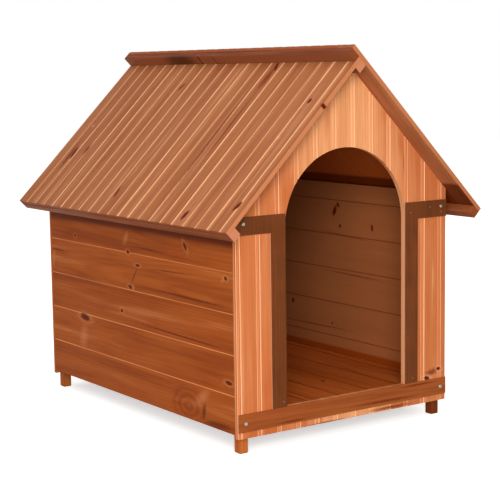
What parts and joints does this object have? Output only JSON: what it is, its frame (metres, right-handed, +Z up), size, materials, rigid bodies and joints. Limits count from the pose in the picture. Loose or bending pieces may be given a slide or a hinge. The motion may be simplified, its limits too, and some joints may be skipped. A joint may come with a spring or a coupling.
{
  "type": "dog house",
  "caption": "Pitched-roof timber kennel with plank walls, beaded roof boards, an arched doorway edged by flat brown strips, a boarded floor and short corner-post feet.",
  "frame": {"origin": "on the ground under the middle of the roof's outline", "axes": "+Z up; the doorway faces -Y; +X to the right seen from the front; the ridge runs along Y"},
  "size_m": [0.73, 0.96, 0.8812],
  "materials": {
    "front_fir": "light orange-brown stain, satin",
    "rear_fir": "orange-brown stain, satin",
    "wall_fir": "red-brown stain, satin",
    "roof_fir": "brown stain, satin",
    "floor_fir": "dark red-brown stain, satin",
    "roof_batten_fir": "red-brown stain, satin",
    "post_fir": "orange-brown stain, satin",
    "hidden_batten_fir": "brown stain, satin",
    "brown_painted_strip": "chocolate-brown paint, matt",
    "threshold_timber": "red-brown stain, satin",
    "zinc_screw": "zinc plated"
  },
  "bodies": {
    "root": {"floor_board_1": "floor_fir", "floor_board_2": "floor_fir", "floor_board_3": "floor_fir", "floor_board_4": "floor_fir", "floor_board_5": "floor_fir", "floor_board_6": "floor_fir", "floor_board_7": "floor_fir", "floor_board_8": "floor_fir", "front_board_1": "front_fir", "front_board_2": "front_fir", "front_board_3": "front_fir", "front_board_4": "front_fir", "front_board_5": "front_fir", "front_board_6": "front_fir", "front_floor_bearer": "hidden_batten_fir", "front_left_gable_batten": "hidden_batten_fir", "front_left_post": "post_fir", "front_right_gable_batten": "hidden_batten_fir", "front_right_post": "post_fir", "left_arch_strip": "brown_painted_strip", "left_eave_batten": "roof_batten_fir", "left_floor_ledge": "hidden_batten_fir", "left_ridge_batten": "roof_batten_fir", "left_roof_boards": "roof_fir", "left_wall_board_1": "wall_fir", "left_wall_board_2": "wall_fir", "left_wall_board_3": "wall_fir", "left_wall_board_4": "wall_fir", "left_wall_board_5": "wall_fir", "left_wall_board_6": "wall_fir", "middle_floor_bearer": "hidden_batten_fir", "rear_board_1": "rear_fir", "rear_board_2": "rear_fir", "rear_board_3": "rear_fir", "rear_board_4": "rear_fir", "rear_board_5": "rear_fir", "rear_board_6": "rear_fir", "rear_floor_bearer": "hidden_batten_fir", "rear_left_gable_batten": "hidden_batten_fir", "rear_left_post": "post_fir", "rear_right_gable_batten": "hidden_batten_fir", "rear_right_post": "post_fir", "right_arch_strip": "brown_painted_strip", "right_eave_batten": "roof_batten_fir", "right_floor_ledge": "hidden_batten_fir", "right_ridge_batten": "roof_batten_fir", "right_roof_boards": "roof_fir", "right_wall_board_1": "wall_fir", "right_wall_board_2": "wall_fir", "right_wall_board_3": "wall_fir", "right_wall_board_4": "wall_fir", "right_wall_board_5": "wall_fir", "right_wall_board_6": "wall_fir", "sill_board_3": "front_fir", "sill_board_4": "front_fir", "strip_screws": "zinc_screw", "threshold_strip": "threshold_timber"}
  },
  "joints": []
}
